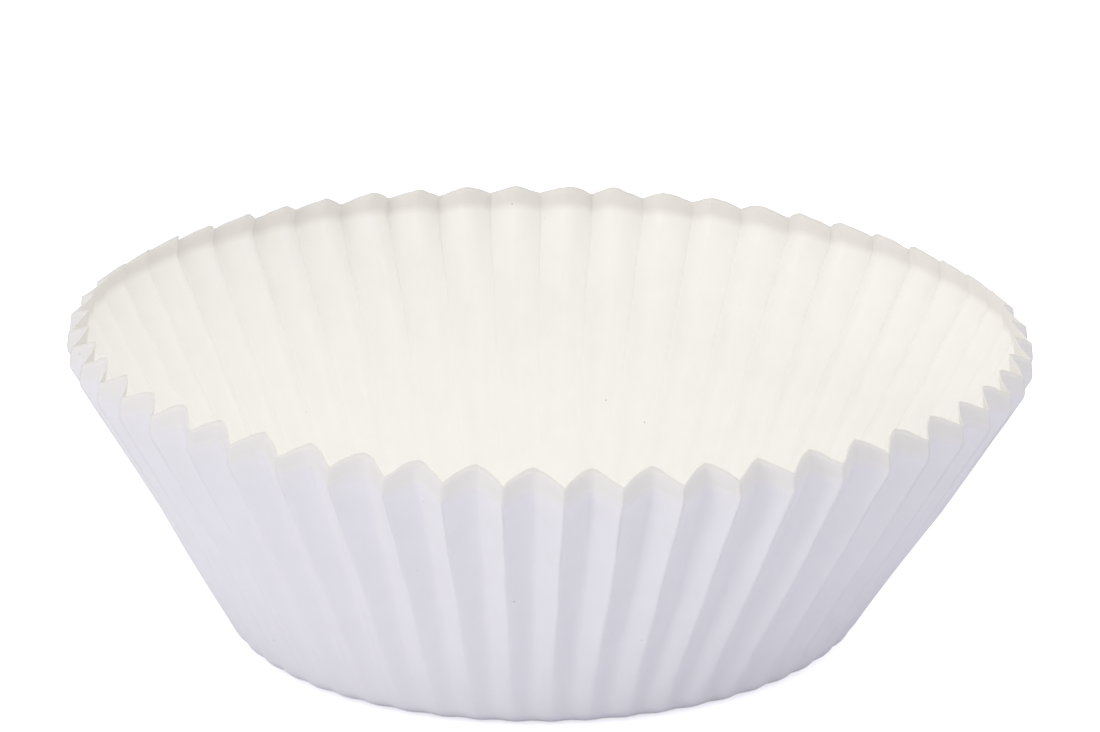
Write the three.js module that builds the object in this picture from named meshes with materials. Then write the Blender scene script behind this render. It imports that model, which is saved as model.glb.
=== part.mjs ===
// Paper baking cup: one disc of greaseproof paper pressed into a fluted cup with a flat round floor.
// Millimetres, +Z up. The origin is the middle of the floor's underside and one outer fold faces -Y.

import * as THREE from 'three';

// Floor and wall, measured along the middle of the paper, halfway between two folds
const floorDiameter = 47.2; // the flat round part that the cup stands on
const floorEdgeRadius = 2.4; // bend from the floor into the wall
const wallLength = 25; // straight paper from that bend up to the rim crease
const wallLean = 29.3; // degrees that the wall opens outwards from upright

// Rim band above the crease
const bandLength = 1.65;
const bandLean = -7.3; // degrees from upright, negative because the band turns back inwards
const rimScallop = 0.3; // how much further the cut edge reaches on the inner folds, in paper

// Pleats, with their depth measured from inner to outer fold
const pleatCount = 54;
const pleatDepthAtFloor = 0.25; // along the cup's radius
const pleatDepthOfWall = 1.62; // at the rim crease, square to the wall
const pleatDepthOfBand = 1.35; // square to the band
const innerFoldRoundness = 0.6; // 0 is a straight zigzag, 1 is a full round arch between two creases

const paperThickness = 0.1;

// Facets
const stepsPerPleat = 6;
const floorEdgeSteps = 3;
const wallSteps = 3;

const degree = Math.PI / 180;

// Directions in the section plane for paper that leans outwards by some degrees from upright
function alongPaper(lean) {
  return new THREE.Vector2(Math.sin(lean * degree), Math.cos(lean * degree));
}

function squareToPaper(lean) {
  return new THREE.Vector2(Math.cos(lean * degree), -Math.sin(lean * degree));
}

// Stations along the middle of the paper, from the cup's axis out to the cut edge. Each one has the
// direction of the paper's outer face and its reach: the way from the inner fold to the outer fold.
function paperStations() {
  const upTheWall = alongPaper(wallLean);
  const upTheBand = alongPaper(bandLean);
  const outOfWall = squareToPaper(wallLean);
  const outOfBand = squareToPaper(bandLean);
  const acrossCrease = outOfWall.clone().add(outOfBand).divideScalar(1 + outOfWall.dot(outOfBand));
  const floorReach = new THREE.Vector2(pleatDepthAtFloor, 0);

  // The crease is mitred: on each fold it lies where the wall's fold line meets the band's
  const creaseTurn = (wallLean - bandLean) * degree;
  const creaseReach = upTheWall.clone().multiplyScalar(pleatDepthOfBand)
    .addScaledVector(upTheBand, -pleatDepthOfWall)
    .divideScalar(Math.sin(creaseTurn));

  // A fold line on the outside of the turn runs further round the crease. Every fold line has the same
  // length of paper, so the cut edge stands lower on the outer folds, and the scallop adds to that.
  const edgeDrop = (pleatDepthOfWall + pleatDepthOfBand) * Math.tan(creaseTurn / 2) + rimScallop;
  const rimReach = outOfBand.clone().multiplyScalar(pleatDepthOfBand)
    .addScaledVector(upTheBand, -edgeDrop);

  const floorHeight = paperThickness / 2;
  const floorLean = 90;
  const stations = [{
    point: new THREE.Vector2(0, floorHeight),
    outward: squareToPaper(floorLean),
    reach: new THREE.Vector2(0, 0),
  }];

  const bendCentre = new THREE.Vector2(floorDiameter / 2, floorHeight + floorEdgeRadius);
  for (let step = 0; step <= floorEdgeSteps; step += 1) {
    const outward = squareToPaper(THREE.MathUtils.lerp(floorLean, wallLean, step / floorEdgeSteps));
    const point = bendCentre.clone().addScaledVector(outward, floorEdgeRadius);
    stations.push({ point, outward, reach: floorReach });
  }

  const foot = stations.at(-1).point;
  for (let step = 1; step <= wallSteps; step += 1) {
    const share = step / wallSteps;
    stations.push({
      point: foot.clone().addScaledVector(upTheWall, wallLength * share),
      outward: share < 1 ? outOfWall : acrossCrease,
      reach: floorReach.clone().lerp(creaseReach, share),
    });
  }

  const crease = stations.at(-1).point;
  stations.push({
    point: crease.clone().addScaledVector(upTheBand, bandLength),
    outward: outOfBand,
    reach: rimReach,
  });
  return stations;
}

// How far a column lies towards the inner fold of its pleat: 0 on the outer fold, 1 on the inner fold.
// The outer folds are sharp creases and the inner folds are rounded.
function inwardness(column) {
  const step = column % stepsPerPleat;
  const fromInnerFold = Math.abs(1 - (2 * step) / stepsPerPleat);
  const arch = Math.cos((fromInnerFold * Math.PI) / 2);
  return THREE.MathUtils.lerp(1 - fromInnerFold, arch, innerFoldRoundness);
}

// A pleat's flanks are tilted, so the paper measures more along the section than square to itself
function tiltFactor(column, radius, depth) {
  if (radius === 0) return 1;
  const stepWidth = (2 * Math.PI * radius) / (pleatCount * stepsPerPleat);
  const here = inwardness(column);
  const before = inwardness(column + stepsPerPleat - 1);
  const after = inwardness(column + 1);
  const slope = (depth * (Math.abs(after - here) + Math.abs(here - before))) / (2 * stepWidth);
  return Math.hypot(1, slope);
}

// One point of the section, on the outer face (side 1) or the inner face (side -1) of the paper
function paperPoint({ point, outward, reach }, column, side) {
  const halfPaper = (paperThickness / 2) * (reach.y === 0 ? 1 : tiltFactor(column, point.x, reach.length()));
  return point.clone()
    .addScaledVector(reach, 0.5 - inwardness(column))
    .addScaledVector(outward, side * halfPaper);
}

// The section runs out along the outer face and back along the inner face. It is turned about the axis
// with a few columns to each pleat, and each column is then moved to its own place in the pleat.
function pleatedCup() {
  const outerFace = paperStations().map((station) => ({ station, side: 1 }));
  const innerFace = outerFace.map(({ station }) => ({ station, side: -1 })).reverse();
  const section = [...outerFace, ...innerFace];
  const outerFoldProfile = section.map(({ station, side }) => paperPoint(station, 0, side));
  const columns = pleatCount * stepsPerPleat;
  const cup = new THREE.LatheGeometry(outerFoldProfile, columns);
  const position = cup.getAttribute('position');
  for (let column = 0; column <= columns; column += 1) {
    const turn = (2 * Math.PI * column) / columns;
    section.forEach(({ station, side }, row) => {
      const place = paperPoint(station, column, side);
      const vertex = column * section.length + row;
      position.setXYZ(vertex, place.x * Math.sin(turn), place.y, place.x * Math.cos(turn));
    });
  }
  cup.rotateX(Math.PI / 2);
  cup.computeVertexNormals();
  return cup;
}

const greaseproofPaper = new THREE.MeshStandardMaterial({
  name: 'white greaseproof paper',
  color: 0xf1f0ee,
  roughness: 0.75,
  metalness: 0,
  side: THREE.DoubleSide,
});

const paperCup = new THREE.Mesh(pleatedCup(), greaseproofPaper);
paperCup.name = 'paper_cup';

const bakingCup = new THREE.Group();
bakingCup.name = 'baking_cup';
bakingCup.add(paperCup);

export default bakingCup;
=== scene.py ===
# Paper baking cup: one pleated paper disc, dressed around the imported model
import math

import bpy
from mathutils import Matrix, Vector


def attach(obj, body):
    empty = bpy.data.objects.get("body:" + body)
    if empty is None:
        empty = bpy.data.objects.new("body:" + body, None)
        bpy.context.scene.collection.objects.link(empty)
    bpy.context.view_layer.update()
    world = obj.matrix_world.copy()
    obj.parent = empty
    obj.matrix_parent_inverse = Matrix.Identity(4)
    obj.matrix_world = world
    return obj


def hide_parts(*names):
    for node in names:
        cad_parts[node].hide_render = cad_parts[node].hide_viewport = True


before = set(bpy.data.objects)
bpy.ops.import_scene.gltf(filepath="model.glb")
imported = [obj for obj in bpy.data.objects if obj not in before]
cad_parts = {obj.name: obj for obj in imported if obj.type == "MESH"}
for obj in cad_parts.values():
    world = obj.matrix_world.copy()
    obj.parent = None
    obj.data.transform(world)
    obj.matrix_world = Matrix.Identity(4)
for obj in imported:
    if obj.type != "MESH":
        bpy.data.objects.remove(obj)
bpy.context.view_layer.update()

mm = 0.001
print("frame loaded:", sorted(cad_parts))


def linearColour(hexText):
    channels = [int(hexText[at:at + 2], 16) / 255 for at in (1, 3, 5)]
    return [c / 12.92 if c <= 0.04045 else ((c + 0.055) / 1.055) ** 2.4 for c in channels] + [1.0]


# adds a node, sets its properties, and fills its inputs with values or links
def addNode(tree, kind, inputs=None, items=0, **settings):
    node = tree.nodes.new(kind)
    for name, value in settings.items():
        setattr(node, name, value)
    for _ in range(items):
        node.index_switch_items.new()
    for key, value in (inputs or {}).items():
        if isinstance(value, bpy.types.Node):
            value = value.outputs[0]
        if isinstance(value, bpy.types.NodeSocket):
            tree.links.new(value, node.inputs[key])
        else:
            node.inputs[key].default_value = value
    return node


# The cup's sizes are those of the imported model. The mesh steps, the lean of the mouth and the small
# faults of a pressed cup come on top.
paperCup = {
    "floorDiameter": 47.2 * mm,
    "floorEdgeRadius": 2.4 * mm,
    "wallLength": 25.0 * mm,
    "wallLean": math.radians(29.3),
    "bandLength": 1.65 * mm,
    "bandLean": math.radians(-7.3),
    "creaseRadius": 1.2 * mm,
    "rimScallop": 0.3 * mm,
    "pleatCount": 54,
    "pleatDepthAtFloor": 0.25 * mm,
    "pleatDepthOfWall": 1.62 * mm,
    "pleatDepthOfBand": 1.35 * mm,
    "innerFoldRoundness": 0.6,
    "footSoftness": 0.9,        # how far the pleats are smooth waves at the floor edge
    "stepsPerPleat": 16,
    "foldCrispness": 1.35,      # over 1 puts more of the steps near the outer fold
    "wallRings": 0.85 * mm,     # spacing of the mesh rings
    "bandRings": 0.42 * mm,
    "floorRings": 3.4 * mm,
    "bendSteps": 6,
    "paperThickness": 0.1 * mm,
    "mouthLean": math.radians(1.75),
    "leanHeight": 12.0 * mm,    # the lean is full from here up
    "unevenDepth": 0.16,
    "unevenPitch": 0.12,        # in pleats
    "unevenEdge": 0.2 * mm,
    "unevenRun": 18.0 * mm,     # how far a fault runs up the wall
    "unevenDetail": 3.0,
    "unevenRoughness": 0.7,     # share of small wobbles along a fold
    "edgeFade": 4.0,            # how soon an uneven cut edge evens out below the crease
    "seed": 3.0,
    "noiseGap": 50.0,           # keeps the noises for depth, pitch and edge apart
    "weldDistance": 0.001 * mm,
}


def pleatTree():
    tree = bpy.data.node_groups.new("pleatedPaper", "GeometryNodeTree")
    tree.interface.new_socket("Geometry", in_out="INPUT", socket_type="NodeSocketGeometry")
    tree.interface.new_socket("Geometry", in_out="OUTPUT", socket_type="NodeSocketGeometry")
    for name, value in paperCup.items():
        kind = "NodeSocketInt" if isinstance(value, int) else "NodeSocketFloat"
        tree.interface.new_socket(name, in_out="INPUT", socket_type=kind)
    tree.interface.new_socket("paper", in_out="INPUT", socket_type="NodeSocketMaterial")
    size = addNode(tree, "NodeGroupInput").outputs

    # directions along and square to the paper, in the section plane XZ
    leans = {"wall": size["wallLean"], "band": size["bandLean"]}
    up = {}
    out = {}
    for name, lean in leans.items():
        up[name] = addNode(tree, "ShaderNodeVectorRotate", {"Vector": (0, 0, 1), "Angle": lean},
                           rotation_type="Y_AXIS")
        out[name] = addNode(tree, "ShaderNodeVectorRotate", {"Vector": (1, 0, 0), "Angle": lean},
                            rotation_type="Y_AXIS")

    # corners of the paper line before its bends are rounded
    halfBend = addNode(tree, "ShaderNodeMath", {0: leans["wall"], 1: -0.5, 2: math.pi / 4},
                       operation="MULTIPLY_ADD")
    bendSlope = addNode(tree, "ShaderNodeMath", {0: halfBend}, operation="TANGENT")
    bendRun = addNode(tree, "ShaderNodeMath", {0: bendSlope, 1: size["floorEdgeRadius"]},
                      operation="MULTIPLY")
    cornerRadius = addNode(tree, "ShaderNodeMath", {0: size["floorDiameter"], 1: 0.5, 2: bendRun},
                           operation="MULTIPLY_ADD")
    floorCorner = addNode(tree, "ShaderNodeCombineXYZ", {"X": cornerRadius})
    wallRun = addNode(tree, "ShaderNodeMath", {0: bendRun, 1: size["wallLength"]})
    crease = addNode(tree, "ShaderNodeVectorMath", {0: up["wall"], 1: wallRun, 2: floorCorner},
                     operation="MULTIPLY_ADD")
    cutEdge = addNode(tree, "ShaderNodeVectorMath", {0: up["band"], 1: size["bandLength"], 2: crease},
                      operation="MULTIPLY_ADD")

    # reach: the way from the inner fold to the outer fold at each corner
    floorReach = addNode(tree, "ShaderNodeCombineXYZ", {"X": size["pleatDepthAtFloor"]})
    creaseTurn = addNode(tree, "ShaderNodeMath", {0: leans["wall"], 1: leans["band"]}, operation="SUBTRACT")
    turnSine = addNode(tree, "ShaderNodeMath", {0: creaseTurn}, operation="SINE")
    wallPart = addNode(tree, "ShaderNodeVectorMath", {0: up["wall"], 1: size["pleatDepthOfBand"]},
                       operation="MULTIPLY")
    bandPart = addNode(tree, "ShaderNodeVectorMath", {0: up["band"], 1: size["pleatDepthOfWall"]},
                       operation="MULTIPLY")
    bothParts = addNode(tree, "ShaderNodeVectorMath", {0: wallPart, 1: bandPart}, operation="SUBTRACT")
    creaseReach = addNode(tree, "ShaderNodeVectorMath", {0: bothParts, 1: turnSine}, operation="DIVIDE")
    halfTurn = addNode(tree, "ShaderNodeMath", {0: creaseTurn, 1: 0.5}, operation="MULTIPLY")
    turnSlope = addNode(tree, "ShaderNodeMath", {0: halfTurn}, operation="TANGENT")
    bothDepths = addNode(tree, "ShaderNodeMath", {0: size["pleatDepthOfWall"], 1: size["pleatDepthOfBand"]})
    edgeDrop = addNode(tree, "ShaderNodeMath", {0: turnSlope, 1: bothDepths, 2: size["rimScallop"]},
                       operation="MULTIPLY_ADD")
    edgeOut = addNode(tree, "ShaderNodeVectorMath", {0: out["band"], 1: size["pleatDepthOfBand"]},
                      operation="MULTIPLY")
    edgeDown = addNode(tree, "ShaderNodeVectorMath", {0: up["band"], 1: edgeDrop}, operation="MULTIPLY")
    edgeReach = addNode(tree, "ShaderNodeVectorMath", {0: edgeOut, 1: edgeDown}, operation="SUBTRACT")

    # the section as a curve of four corners, then rounded and cut into rings
    index = addNode(tree, "GeometryNodeInputIndex")
    place = addNode(tree, "GeometryNodeInputPosition")
    cornerPlace = addNode(tree, "GeometryNodeIndexSwitch",
                          {0: index, 2: floorCorner, 3: crease, 4: cutEdge}, items=2, data_type="VECTOR")
    cornerReach = addNode(tree, "GeometryNodeIndexSwitch",
                          {0: index, 2: floorReach, 3: creaseReach, 4: edgeReach}, items=2,
                          data_type="VECTOR")
    cornerRound = addNode(tree, "GeometryNodeIndexSwitch",
                          {0: index, 2: size["floorEdgeRadius"], 3: size["creaseRadius"]},
                          items=2, data_type="FLOAT")
    line = addNode(tree, "GeometryNodeCurvePrimitiveLine", {"Start": (0, 0, 0), "End": (1, 0, 0)})
    fourPoints = addNode(tree, "GeometryNodeSubdivideCurve", {"Curve": line, "Cuts": 2})
    corners = addNode(tree, "GeometryNodeSetPosition", {"Geometry": fourPoints, "Position": cornerPlace})
    withReach = addNode(tree, "GeometryNodeStoreNamedAttribute",
                        {"Geometry": corners, "Name": "reach", "Value": cornerReach},
                        data_type="FLOAT_VECTOR", domain="POINT")
    rounded = addNode(tree, "GeometryNodeFilletCurve",
                      {"Curve": withReach, "Radius": cornerRound, "Count": size["bendSteps"],
                       "Limit Radius": True}, mode="POLY")
    nextIndex = addNode(tree, "ShaderNodeMath", {0: index, 1: 1.0})
    nextPlace = addNode(tree, "GeometryNodeFieldAtIndex", {"Index": nextIndex, "Value": place},
                        data_type="FLOAT_VECTOR", domain="POINT")
    gap = addNode(tree, "ShaderNodeVectorMath", {0: nextPlace, 1: place},
                  operation="DISTANCE").outputs["Value"]
    isFloor = addNode(tree, "ShaderNodeMath", {0: index, 1: 0.5}, operation="LESS_THAN")
    isWall = addNode(tree, "ShaderNodeMath", {0: gap, 1: size["bandLength"]}, operation="GREATER_THAN")
    sideRings = addNode(tree, "ShaderNodeMix", {0: isWall, 2: size["bandRings"], 3: size["wallRings"]})
    ringGap = addNode(tree, "ShaderNodeMix", {0: isFloor, 2: sideRings, 3: size["floorRings"]})
    cuts = addNode(tree, "ShaderNodeMath", {0: gap, 1: ringGap}, operation="DIVIDE")
    section = addNode(tree, "GeometryNodeSubdivideCurve", {"Curve": rounded, "Cuts": cuts})

    # a flat sheet of rings and columns that takes its places from the section
    rings = addNode(tree, "GeometryNodeAttributeDomainSize", {"Geometry": section},
                    component="CURVE").outputs["Point Count"]
    columns = addNode(tree, "ShaderNodeMath", {0: size["pleatCount"], 1: size["stepsPerPleat"]},
                      operation="MULTIPLY")
    columnLines = addNode(tree, "ShaderNodeMath", {0: columns, 1: 1.0})
    sheet = addNode(tree, "GeometryNodeMeshGrid", {"Vertices X": columnLines, "Vertices Y": rings})
    ring = addNode(tree, "ShaderNodeMath", {0: index, 1: rings}, operation="FLOORED_MODULO")
    columnShare = addNode(tree, "ShaderNodeMath", {0: index, 1: rings}, operation="DIVIDE")
    column = addNode(tree, "ShaderNodeMath", {0: columnShare}, operation="FLOOR")
    reach = addNode(tree, "GeometryNodeInputNamedAttribute", {"Name": "reach"}, data_type="FLOAT_VECTOR")
    along = addNode(tree, "GeometryNodeSplineParameter").outputs["Length"]
    middle = addNode(tree, "GeometryNodeSampleIndex", {"Geometry": section, "Value": place, "Index": ring},
                     data_type="FLOAT_VECTOR", domain="POINT")
    ringReach = addNode(tree, "GeometryNodeSampleIndex", {"Geometry": section, "Value": reach, "Index": ring},
                        data_type="FLOAT_VECTOR", domain="POINT")
    paperWay = addNode(tree, "GeometryNodeSampleIndex", {"Geometry": section, "Value": along, "Index": ring},
                       data_type="FLOAT", domain="POINT")

    # place within a pleat: 0 on the outer fold, 1 on the inner fold
    pleatPlace = addNode(tree, "ShaderNodeMath", {0: column, 1: size["stepsPerPleat"]}, operation="DIVIDE")
    pleat = addNode(tree, "ShaderNodeMath", {0: pleatPlace}, operation="ROUND")
    part = addNode(tree, "ShaderNodeMath", {0: pleatPlace, 1: pleat}, operation="SUBTRACT")
    sideOfFold = addNode(tree, "ShaderNodeMath", {0: part}, operation="SIGN")
    evenAway = addNode(tree, "ShaderNodeMath", {0: part}, operation="ABSOLUTE")
    doubled = addNode(tree, "ShaderNodeMath", {0: evenAway, 1: 2.0}, operation="MULTIPLY")
    away = addNode(tree, "ShaderNodeMath", {0: doubled, 1: size["foldCrispness"]}, operation="POWER")
    halfAway = addNode(tree, "ShaderNodeMath", {0: away, 1: 0.5}, operation="MULTIPLY")
    pleatShare = addNode(tree, "ShaderNodeMath", {0: sideOfFold, 1: halfAway, 2: pleat},
                         operation="MULTIPLY_ADD")
    pleatTurn = addNode(tree, "ShaderNodeMath", {0: 2 * math.pi, 1: size["pleatCount"]}, operation="DIVIDE")
    evenTurn = addNode(tree, "ShaderNodeMath", {0: pleatShare, 1: pleatTurn}, operation="MULTIPLY")

    # unevenness: noise read on a circle, one cell to a pleat, so that it closes at the seam
    circleRadius = addNode(tree, "ShaderNodeMath", {0: size["pleatCount"], 1: 2 * math.pi},
                           operation="DIVIDE")
    front = addNode(tree, "ShaderNodeCombineXYZ", {"X": circleRadius})
    onCircle = addNode(tree, "ShaderNodeVectorRotate", {"Vector": front, "Angle": evenTurn},
                       rotation_type="Z_AXIS")
    wallShare = addNode(tree, "ShaderNodeMath", {0: paperWay, 1: size["unevenRun"]}, operation="DIVIDE")
    upTheWall = addNode(tree, "ShaderNodeMath", {0: wallShare, 1: size["seed"]})
    noiseLift = addNode(tree, "ShaderNodeCombineXYZ", {"Z": upTheWall})
    noisePlace = addNode(tree, "ShaderNodeVectorMath", {0: onCircle, 1: noiseLift})
    offsets = {"depth": {}, "pitch": {"X": size["noiseGap"]}, "edge": {"Y": size["noiseGap"]}}
    swings = {}
    for name, offset in offsets.items():
        apart = addNode(tree, "ShaderNodeCombineXYZ", offset)
        at = addNode(tree, "ShaderNodeVectorMath", {0: noisePlace, 1: apart})
        noise = addNode(tree, "ShaderNodeTexNoise",
                        {"Vector": at, "Scale": 1.0, "Detail": size["unevenDetail"],
                         "Roughness": size["unevenRoughness"]})
        swings[name] = addNode(tree, "ShaderNodeMath", {0: noise, 1: 2.0, 2: -1.0}, operation="MULTIPLY_ADD")

    # the pleat's wave: sharp outer creases and rounded inner folds near the rim, soft waves at the foot
    quarter = addNode(tree, "ShaderNodeMath", {0: away, 1: math.pi / 2}, operation="MULTIPLY")
    arch = addNode(tree, "ShaderNodeMath", {0: quarter}, operation="SINE")
    creased = addNode(tree, "ShaderNodeMix", {0: size["innerFoldRoundness"], 2: away, 3: arch})
    half = addNode(tree, "ShaderNodeMath", {0: away, 1: math.pi}, operation="MULTIPLY")
    cosine = addNode(tree, "ShaderNodeMath", {0: half}, operation="COSINE")
    soft = addNode(tree, "ShaderNodeMath", {0: cosine, 1: -0.5, 2: 0.5}, operation="MULTIPLY_ADD")
    ringDepth = addNode(tree, "ShaderNodeVectorMath", {0: ringReach}, operation="LENGTH").outputs["Value"]
    risen = addNode(tree, "ShaderNodeMapRange",
                    {0: ringDepth, 1: size["pleatDepthAtFloor"], 2: size["pleatDepthOfBand"],
                     3: size["footSoftness"], 4: 0.0})
    inward = addNode(tree, "ShaderNodeMix", {0: risen, 2: creased, 3: soft})
    fold = addNode(tree, "ShaderNodeMath", {0: 0.5, 1: inward}, operation="SUBTRACT")
    depthSwing = addNode(tree, "ShaderNodeMath", {0: swings["depth"], 1: size["unevenDepth"], 2: 1.0},
                         operation="MULTIPLY_ADD")
    unevenFold = addNode(tree, "ShaderNodeMath", {0: fold, 1: depthSwing}, operation="MULTIPLY")
    inSection = addNode(tree, "ShaderNodeVectorMath", {0: ringReach, 1: unevenFold, 2: middle},
                        operation="MULTIPLY_ADD")

    # the cut edge is a little longer or shorter from pleat to pleat, fading out below the crease
    nearEdge = addNode(tree, "ShaderNodeMath", {0: ringDepth, 1: size["pleatDepthOfWall"]},
                       operation="DIVIDE")
    edgeShare = addNode(tree, "ShaderNodeMath", {0: nearEdge, 1: size["edgeFade"]}, operation="POWER")
    edgeSwing = addNode(tree, "ShaderNodeMath", {0: swings["edge"], 1: size["unevenEdge"]},
                        operation="MULTIPLY")
    edgeLift = addNode(tree, "ShaderNodeMath", {0: edgeSwing, 1: edgeShare}, operation="MULTIPLY")
    lifted = addNode(tree, "ShaderNodeVectorMath", {0: up["wall"], 1: edgeLift, 2: inSection},
                     operation="MULTIPLY_ADD")

    # turned about the axis from the front, -Y, towards +X
    pitchSwing = addNode(tree, "ShaderNodeMath", {0: swings["pitch"], 1: size["unevenPitch"]},
                         operation="MULTIPLY")
    pitchShift = addNode(tree, "ShaderNodeMath", {0: pitchSwing, 1: nearEdge}, operation="MULTIPLY")
    unevenTurn = addNode(tree, "ShaderNodeMath", {0: pitchShift, 1: pleatTurn, 2: evenTurn},
                         operation="MULTIPLY_ADD")
    fromX = addNode(tree, "ShaderNodeMath", {0: unevenTurn, 1: math.pi / 2}, operation="SUBTRACT")
    turned = addNode(tree, "ShaderNodeVectorRotate", {"Vector": lifted, "Angle": fromX},
                     rotation_type="Z_AXIS")

    # the mouth leans a little to one side, the floor stays flat
    height = addNode(tree, "ShaderNodeSeparateXYZ", {0: turned}).outputs["Z"]
    leanShare = addNode(tree, "ShaderNodeMapRange",
                        {0: height, 1: 0.0, 2: size["leanHeight"], 3: 0.0, 4: size["mouthLean"]})
    leaned = addNode(tree, "ShaderNodeVectorRotate", {"Vector": turned, "Angle": leanShare},
                     rotation_type="Y_AXIS")
    halfPaper = addNode(tree, "ShaderNodeMath", {0: size["paperThickness"], 1: 0.5}, operation="MULTIPLY")
    offFloor = addNode(tree, "ShaderNodeCombineXYZ", {"Z": halfPaper})
    finalPlace = addNode(tree, "ShaderNodeVectorMath", {0: leaned, 1: offFloor})

    marked = addNode(tree, "GeometryNodeStoreNamedAttribute",
                     {"Geometry": sheet, "Name": "paperWay", "Value": paperWay},
                     data_type="FLOAT", domain="POINT")
    shaped = addNode(tree, "GeometryNodeSetPosition", {"Geometry": marked, "Position": finalPlace})
    closed = addNode(tree, "GeometryNodeMergeByDistance",
                     {"Geometry": shaped, "Distance": size["weldDistance"]})
    smooth = addNode(tree, "GeometryNodeSetShadeSmooth", {"Geometry": closed, "Shade Smooth": True})
    realized = addNode(tree, "GeometryNodeRealizeInstances", {"Geometry": smooth})
    painted = addNode(tree, "GeometryNodeSetMaterial", {"Geometry": realized, "Material": size["paper"]})
    addNode(tree, "NodeGroupOutput", {"Geometry": painted})
    return tree


# White greaseproof paper, beaten pulp pressed smooth by hot rollers: a soft matt white with a faint sheen
greaseproofPaper = {
    "paper": "#f5f4f2",
    "shade": "#f3f2f0",
    "band": "#e8e6e3",         # painted shade: the rim band is painted a little darker and greyer than the rest of the paper
    "speck": "#8d8a88",
    "roughness": 0.62,
    "ior": 1.47,
    "cloudSize": 2.5 * mm,     # thick and thin spots of the pulp
    "cloudDetail": 3.0,
    "cloudRange": (0.35, 0.7),
    "cloudHeight": 0.02 * mm,
    "cloudBump": 0.12,
    "fibreSize": 0.35 * mm,    # real fibres are 0.02 mm wide, drawn coarser so that they show
    "fibreDetail": 4.0,
    "fibreCurl": 0.6,
    "fibreHeight": 0.01 * mm,
    "fibreBump": 0.35,
    "speckSpacing": 3.5 * mm,
    "speckSize": 0.09 * mm,
    "speckStrength": 0.6,
    "bandShadeBlur": 0.4 * mm,
}


def makeGreaseproofPaper():
    look = greaseproofPaper
    material = bpy.data.materials.new("greaseproofPaper")
    material.use_nodes = True
    tree = material.node_tree
    tree.nodes.clear()
    place = addNode(tree, "ShaderNodeTexCoord").outputs["Object"]
    clouds = addNode(tree, "ShaderNodeTexNoise",
                     {"Vector": place, "Scale": 1 / look["cloudSize"], "Detail": look["cloudDetail"]})
    fibres = addNode(tree, "ShaderNodeTexNoise",
                     {"Vector": place, "Scale": 1 / look["fibreSize"], "Detail": look["fibreDetail"],
                      "Distortion": look["fibreCurl"]})
    thin, thick = look["cloudRange"]
    cloudShare = addNode(tree, "ShaderNodeMapRange", {0: clouds, 1: thin, 2: thick, 3: 0.0, 4: 1.0})
    tone = addNode(tree, "ShaderNodeMix",
                   {0: cloudShare, 6: linearColour(look["paper"]), 7: linearColour(look["shade"])},
                   data_type="RGBA")
    bendWay = paperCup["floorEdgeRadius"] * (math.pi / 2 - paperCup["wallLean"])
    creaseWay = paperCup["floorDiameter"] / 2 + bendWay + paperCup["wallLength"]
    paperWay = addNode(tree, "ShaderNodeAttribute", attribute_name="paperWay").outputs["Fac"]
    # painted shade: from the crease up, the rim band is painted in the darker band colour, blended in over a
    # short way either side
    bandShadeShare = addNode(tree, "ShaderNodeMapRange",
                        {0: paperWay, 1: creaseWay - look["bandShadeBlur"], 2: creaseWay + look["bandShadeBlur"],
                         3: 0.0, 4: 1.0})
    bandShaded = addNode(tree, "ShaderNodeMix",
                     {0: bandShadeShare, 6: tone.outputs[2], 7: linearColour(look["band"])}, data_type="RGBA")
    cells = addNode(tree, "ShaderNodeTexVoronoi", {"Vector": place, "Scale": 1 / look["speckSpacing"]})
    speckRadius = look["speckSize"] / look["speckSpacing"]
    speck = addNode(tree, "ShaderNodeMapRange",
                    {0: cells.outputs["Distance"], 1: speckRadius, 2: speckRadius / 2,
                     3: 0.0, 4: look["speckStrength"]})
    speckled = addNode(tree, "ShaderNodeMix",
                       {0: speck, 6: bandShaded.outputs[2], 7: linearColour(look["speck"])}, data_type="RGBA")
    softBump = addNode(tree, "ShaderNodeBump",
                       {"Strength": look["cloudBump"], "Distance": look["cloudHeight"], "Height": clouds})
    fineBump = addNode(tree, "ShaderNodeBump",
                       {"Strength": look["fibreBump"], "Distance": look["fibreHeight"], "Height": fibres,
                        "Normal": softBump})
    shader = addNode(tree, "ShaderNodeBsdfPrincipled",
                     {"Base Color": speckled.outputs[2], "Roughness": look["roughness"], "IOR": look["ior"],
                      "Normal": fineBump})
    addNode(tree, "ShaderNodeOutputMaterial", {"Surface": shader})
    return material


def makePaperCup():
    tree = pleatTree()
    cup = bpy.data.objects.new("paperCup", bpy.data.meshes.new("paperCup"))
    bpy.context.scene.collection.objects.link(cup)
    pleats = cup.modifiers.new("pleats", "NODES")
    pleats.node_group = tree
    values = dict(paperCup, paper=makeGreaseproofPaper())
    for socket in tree.interface.items_tree:
        if socket.in_out == "INPUT" and socket.name in values:
            pleats[socket.identifier] = values[socket.name]
    thickness = cup.modifiers.new("thickness", "SOLIDIFY")
    thickness.thickness = paperCup["paperThickness"]
    thickness.offset = 0.0
    thickness.use_even_offset = True
    evaluated = cup.evaluated_get(bpy.context.evaluated_depsgraph_get())
    mesh = bpy.data.meshes.new_from_object(evaluated)
    cup.modifiers.clear()
    cup.data = mesh
    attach(cup, "root")
    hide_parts("paper_cup")
    return cup


cup = makePaperCup()
print("paper cup:", len(cup.data.vertices), "vertices,", len(cup.data.polygons), "faces")


# The photo's view: a long lens, a little above the rim
photoView = {
    "distance": 428.4 * mm,
    "elevation": math.radians(18.27),
    "turn": math.radians(-1.13),
    "roll": math.radians(-0.573),
    "aim": (0.648 * mm, 0, 20.97 * mm),
    "focalPixels": 5328.8,
    "imageWidth": 1100,
    "nearest": 10.0 * mm,
}


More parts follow.
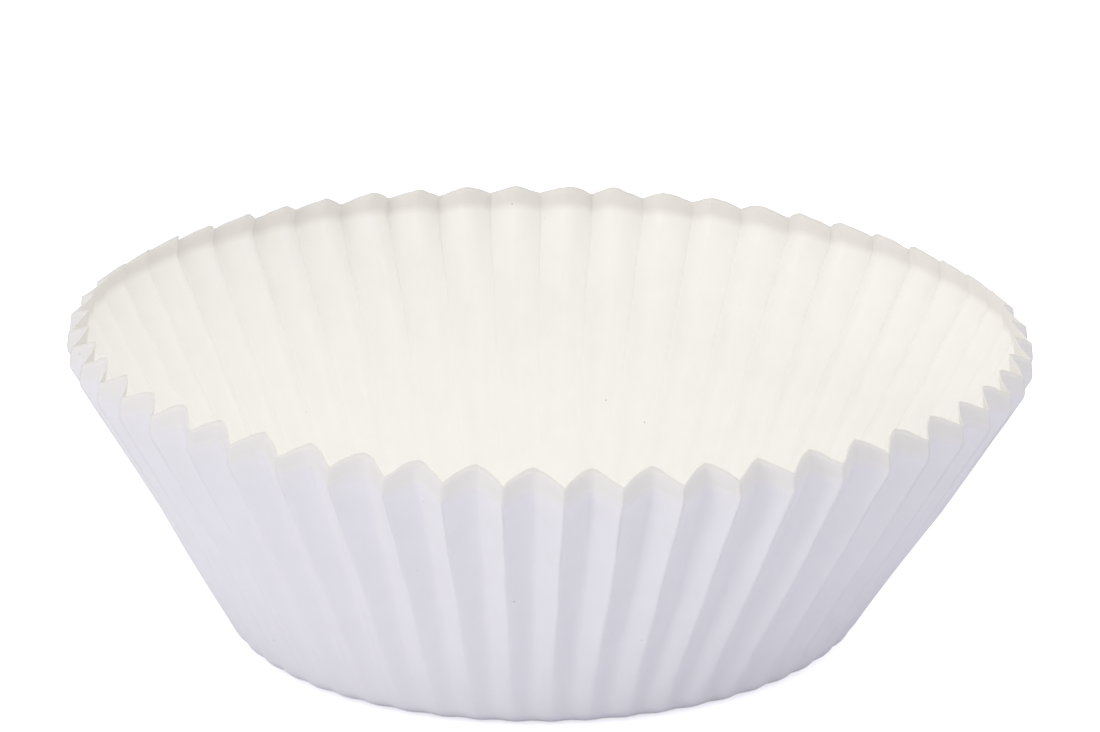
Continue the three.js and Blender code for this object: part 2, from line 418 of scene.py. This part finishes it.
def makeCamera():
    view = photoView
    lens = bpy.data.cameras.new("photoCamera")
    lens.sensor_fit = "HORIZONTAL"
    lens.lens = view["focalPixels"] * lens.sensor_width / view["imageWidth"]
    lens.clip_start = view["nearest"]
    camera = bpy.data.objects.new("photoCamera", lens)
    bpy.context.scene.collection.objects.link(camera)
    tilt = Matrix.Rotation(math.pi / 2 - view["elevation"], 4, "X") @ Matrix.Rotation(view["roll"], 4, "Z")
    back = Vector((0, -math.cos(view["elevation"]), math.sin(view["elevation"])))
    place = Matrix.Translation(Vector(view["aim"]) + back * view["distance"])
    camera.matrix_world = Matrix.Rotation(view["turn"], 4, "Z") @ place @ tilt
    bpy.context.scene.camera = camera


makeCamera()


# Soft white light from all round, brighter overhead. From the front right it is weaker low down and
# stronger high up. A low lamp stands at the front left, and the floor is faintly lavender.
studio = {
    "floorRadius": 1500.0 * mm,
    "floorSides": 64,
    "floorDrop": 0.05 * mm,    # keeps the floor off the cup's underside
    "floorColour": "#d8d9ec",
    "floorRoughness": 0.9,
    "floorGlow": 0.65,         # how much of its white comes from its own glow, seen by the camera alone
    "fillColour": "#fffdfa",
    "fillLow": 0.36,           # strength at the horizon
    "fillHigh": 1.13,          # strength overhead
    "fillRise": 0.5,           # height in the sky, 0 to 1, from which it is full
    "weakSide": (0.4, -0.92, 0.0),    # front right
    "weakening": 0.2,          # how much of the light is missing low on the weak side
    "highGain": 0.15,          # how much more light comes from high on that side
    "lampPlace": (-0.78, -0.7, 0.08),
    "lampPower": 2.0,
    "lampSize": 0.3,
    "lampColour": "#fffcf8",
}


def makeFloor():
    mesh = bpy.data.meshes.new("floor")
    sides = studio["floorSides"]
    rim = [(studio["floorRadius"] * math.cos(2 * math.pi * at / sides),
            studio["floorRadius"] * math.sin(2 * math.pi * at / sides), -studio["floorDrop"])
           for at in range(sides)]
    mesh.from_pydata(rim, [], [list(range(sides))])
    floor = bpy.data.objects.new("floor", mesh)
    bpy.context.scene.collection.objects.link(floor)
    material = bpy.data.materials.new("paleFloor")
    material.use_nodes = True
    tree = material.node_tree
    tree.nodes.clear()
    rays = addNode(tree, "ShaderNodeLightPath")
    glow = addNode(tree, "ShaderNodeMath", {0: rays.outputs["Is Camera Ray"], 1: studio["floorGlow"]},
                   operation="MULTIPLY")
    shader = addNode(tree, "ShaderNodeBsdfPrincipled",
                     {"Base Color": linearColour(studio["floorColour"]),
                      "Roughness": studio["floorRoughness"], "Specular IOR Level": 0.0,
                      "Emission Color": (1, 1, 1, 1), "Emission Strength": glow})
    addNode(tree, "ShaderNodeOutputMaterial", {"Surface": shader})
    mesh.materials.append(material)


def makeLights():
    world = bpy.data.worlds.new("studio")
    bpy.context.scene.world = world
    world.use_nodes = True
    tree = world.node_tree
    tree.nodes.clear()
    rays = addNode(tree, "ShaderNodeLightPath")
    seen = addNode(tree, "ShaderNodeMath",
                   {0: rays.outputs["Is Camera Ray"], 1: rays.outputs["Is Glossy Ray"]}, operation="MAXIMUM")
    seenThrough = addNode(tree, "ShaderNodeMath", {0: seen, 1: rays.outputs["Is Transmission Ray"]},
                          operation="MAXIMUM")
    direction = addNode(tree, "ShaderNodeTexCoord").outputs["Generated"]
    height = addNode(tree, "ShaderNodeSeparateXYZ", {0: direction}).outputs["Z"]
    dome = addNode(tree, "ShaderNodeMapRange",
                   {0: height, 1: 0.0, 2: studio["fillRise"], 3: studio["fillLow"], 4: studio["fillHigh"]})
    weakShare = addNode(tree, "ShaderNodeVectorMath", {0: direction, 1: studio["weakSide"]},
                        operation="DOT_PRODUCT").outputs["Value"]
    sideGain = addNode(tree, "ShaderNodeMapRange",
                       {0: height, 1: 0.0, 2: studio["fillRise"],
                        3: -studio["weakening"], 4: studio["highGain"]})
    sideShare = addNode(tree, "ShaderNodeMath", {0: weakShare, 1: sideGain, 2: 1.0},
                        operation="MULTIPLY_ADD")
    strength = addNode(tree, "ShaderNodeMath", {0: dome, 1: sideShare}, operation="MULTIPLY")
    fill = addNode(tree, "ShaderNodeBackground",
                   {"Color": linearColour(studio["fillColour"]), "Strength": strength})
    white = addNode(tree, "ShaderNodeBackground", {"Color": (1, 1, 1, 1), "Strength": 1.0})
    mixed = addNode(tree, "ShaderNodeMixShader", {0: seenThrough, 1: fill, 2: white})
    addNode(tree, "ShaderNodeOutputWorld", {"Surface": mixed})

    light = bpy.data.lights.new("softLamp", "AREA")
    light.energy = studio["lampPower"]
    light.size = studio["lampSize"]
    light.color = linearColour(studio["lampColour"])[:3]
    lamp = bpy.data.objects.new("softLamp", light)
    lamp.location = studio["lampPlace"]
    lamp.rotation_euler = (-Vector(studio["lampPlace"])).to_track_quat("-Z", "Y").to_euler()
    bpy.context.scene.collection.objects.link(lamp)


makeFloor()
makeLights()
bpy.context.scene.view_settings.view_transform = "Standard"
print("stage and lights placed")
